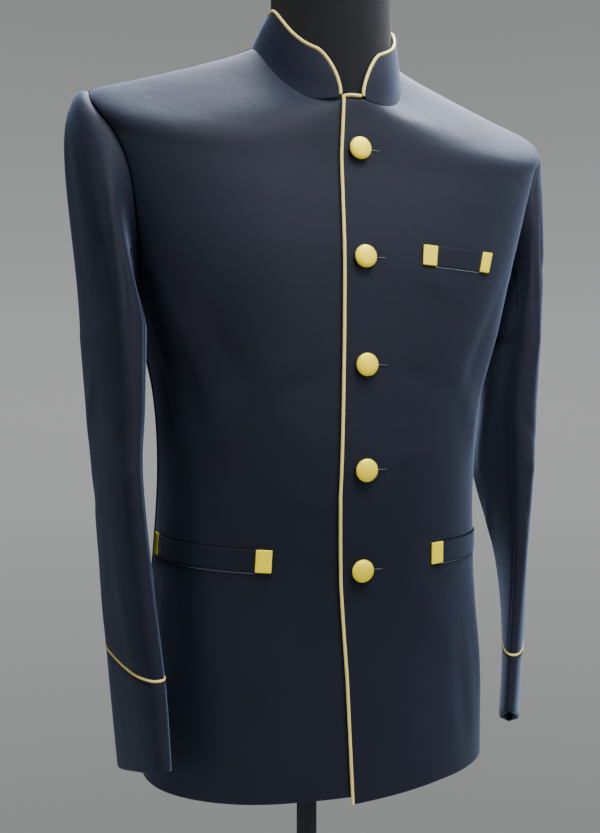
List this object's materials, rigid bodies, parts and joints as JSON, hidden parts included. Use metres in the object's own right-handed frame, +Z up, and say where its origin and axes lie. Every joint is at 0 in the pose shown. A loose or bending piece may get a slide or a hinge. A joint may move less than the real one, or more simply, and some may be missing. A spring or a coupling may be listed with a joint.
{
  "type": "jodhpuri service coat on a dress form",
  "caption": "Long-sleeved jodhpuri service coat with stand collar, gold piping, gold buttons and gold-tabbed pockets, on a limbless dress form with a pole and a round base.",
  "frame": {"origin": "centre of the round base's underside, on the floor, on the axis of the pole", "axes": "+Z up along the pole; -Y the way the coat's front faces; +X towards the wearer's left sleeve"},
  "size_m": [0.5192, 0.38, 1.627],
  "materials": {
    "midnight_suiting": "midnight-blue twill suiting, near black, faint soft sheen",
    "pale_gold_piping": "pale gold satin piping",
    "gold_tab_cloth": "gold satin tabs",
    "gold_buttons": "gold-coloured metal, satin",
    "black_form_jersey": "black jersey over a rigid torso",
    "black_stand_steel": "black powder coat, satin"
  },
  "bodies": {
    "root": {"back_left": "midnight_suiting", "back_right": "midnight_suiting", "left_front": "midnight_suiting", "right_front": "midnight_suiting", "sleeve_top_left": "midnight_suiting", "sleeve_top_right": "midnight_suiting", "sleeve_under_left": "midnight_suiting", "sleeve_under_right": "midnight_suiting", "cuff_left": "midnight_suiting", "cuff_right": "midnight_suiting", "cuff_cord_left": "pale_gold_piping", "cuff_cord_right": "pale_gold_piping", "collar": "midnight_suiting", "collar_cord": "pale_gold_piping", "front_cord": "pale_gold_piping", "button_1": "gold_buttons", "button_2": "gold_buttons", "button_3": "gold_buttons", "button_4": "gold_buttons", "button_5": "gold_buttons", "chest_tab_front": "gold_tab_cloth", "chest_welt": "midnight_suiting", "chest_tab_rear": "gold_tab_cloth", "lower_right_tab_front": "gold_tab_cloth", "lower_right_welt": "midnight_suiting", "lower_right_tab_rear": "gold_tab_cloth", "lower_left_tab_front": "gold_tab_cloth", "lower_left_welt": "midnight_suiting", "lower_left_tab_rear": "gold_tab_cloth", "form_torso": "black_form_jersey", "form_pole": "black_stand_steel", "form_base": "black_stand_steel"}
  },
  "joints": []
}
